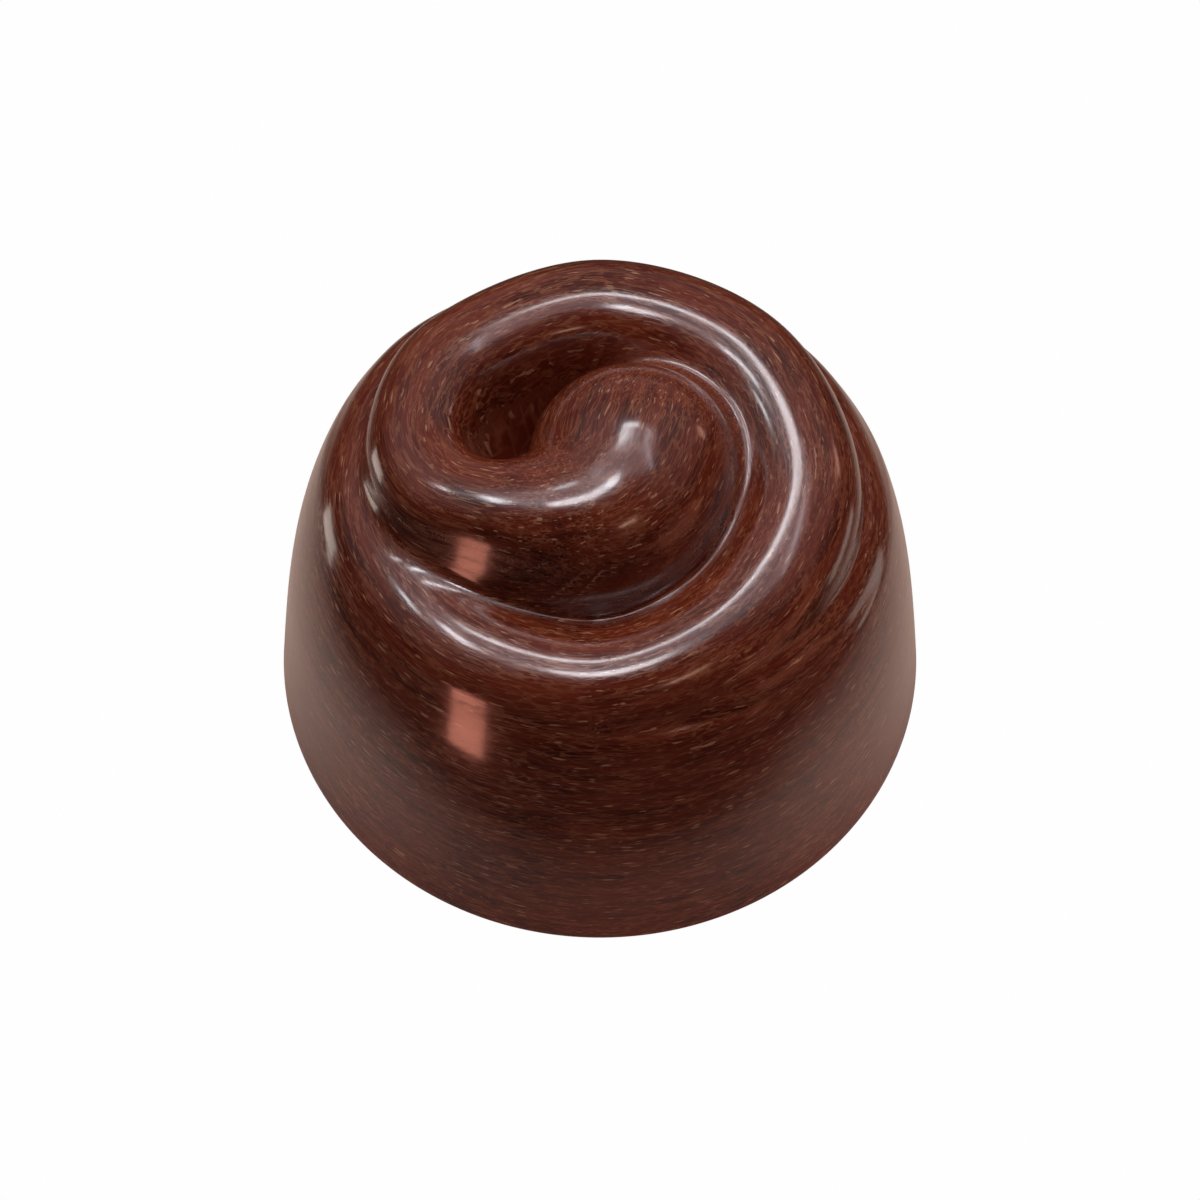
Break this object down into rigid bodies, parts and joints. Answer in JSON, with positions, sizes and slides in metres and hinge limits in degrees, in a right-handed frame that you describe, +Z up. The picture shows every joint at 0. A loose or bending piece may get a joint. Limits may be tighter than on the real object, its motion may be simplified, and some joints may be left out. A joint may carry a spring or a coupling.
{
  "type": "chocolate praline",
  "caption": "Round moulded dark chocolate praline with a tapered wall, a domed top and a thick rope-like swirl that curls into a round head beside a small pit.",
  "frame": {"origin": "centre of the round base, on the surface that the praline stands on", "axes": "+Z up through the praline; +Y to the back, away from the viewer of the picture; +X to the viewer's right"},
  "size_m": [0.03, 0.03, 0.0206],
  "materials": {
    "dark_chocolate": "glossy moulded dark chocolate with fine streaks"
  },
  "bodies": {
    "root": {"praline": "dark_chocolate"}
  },
  "joints": []
}
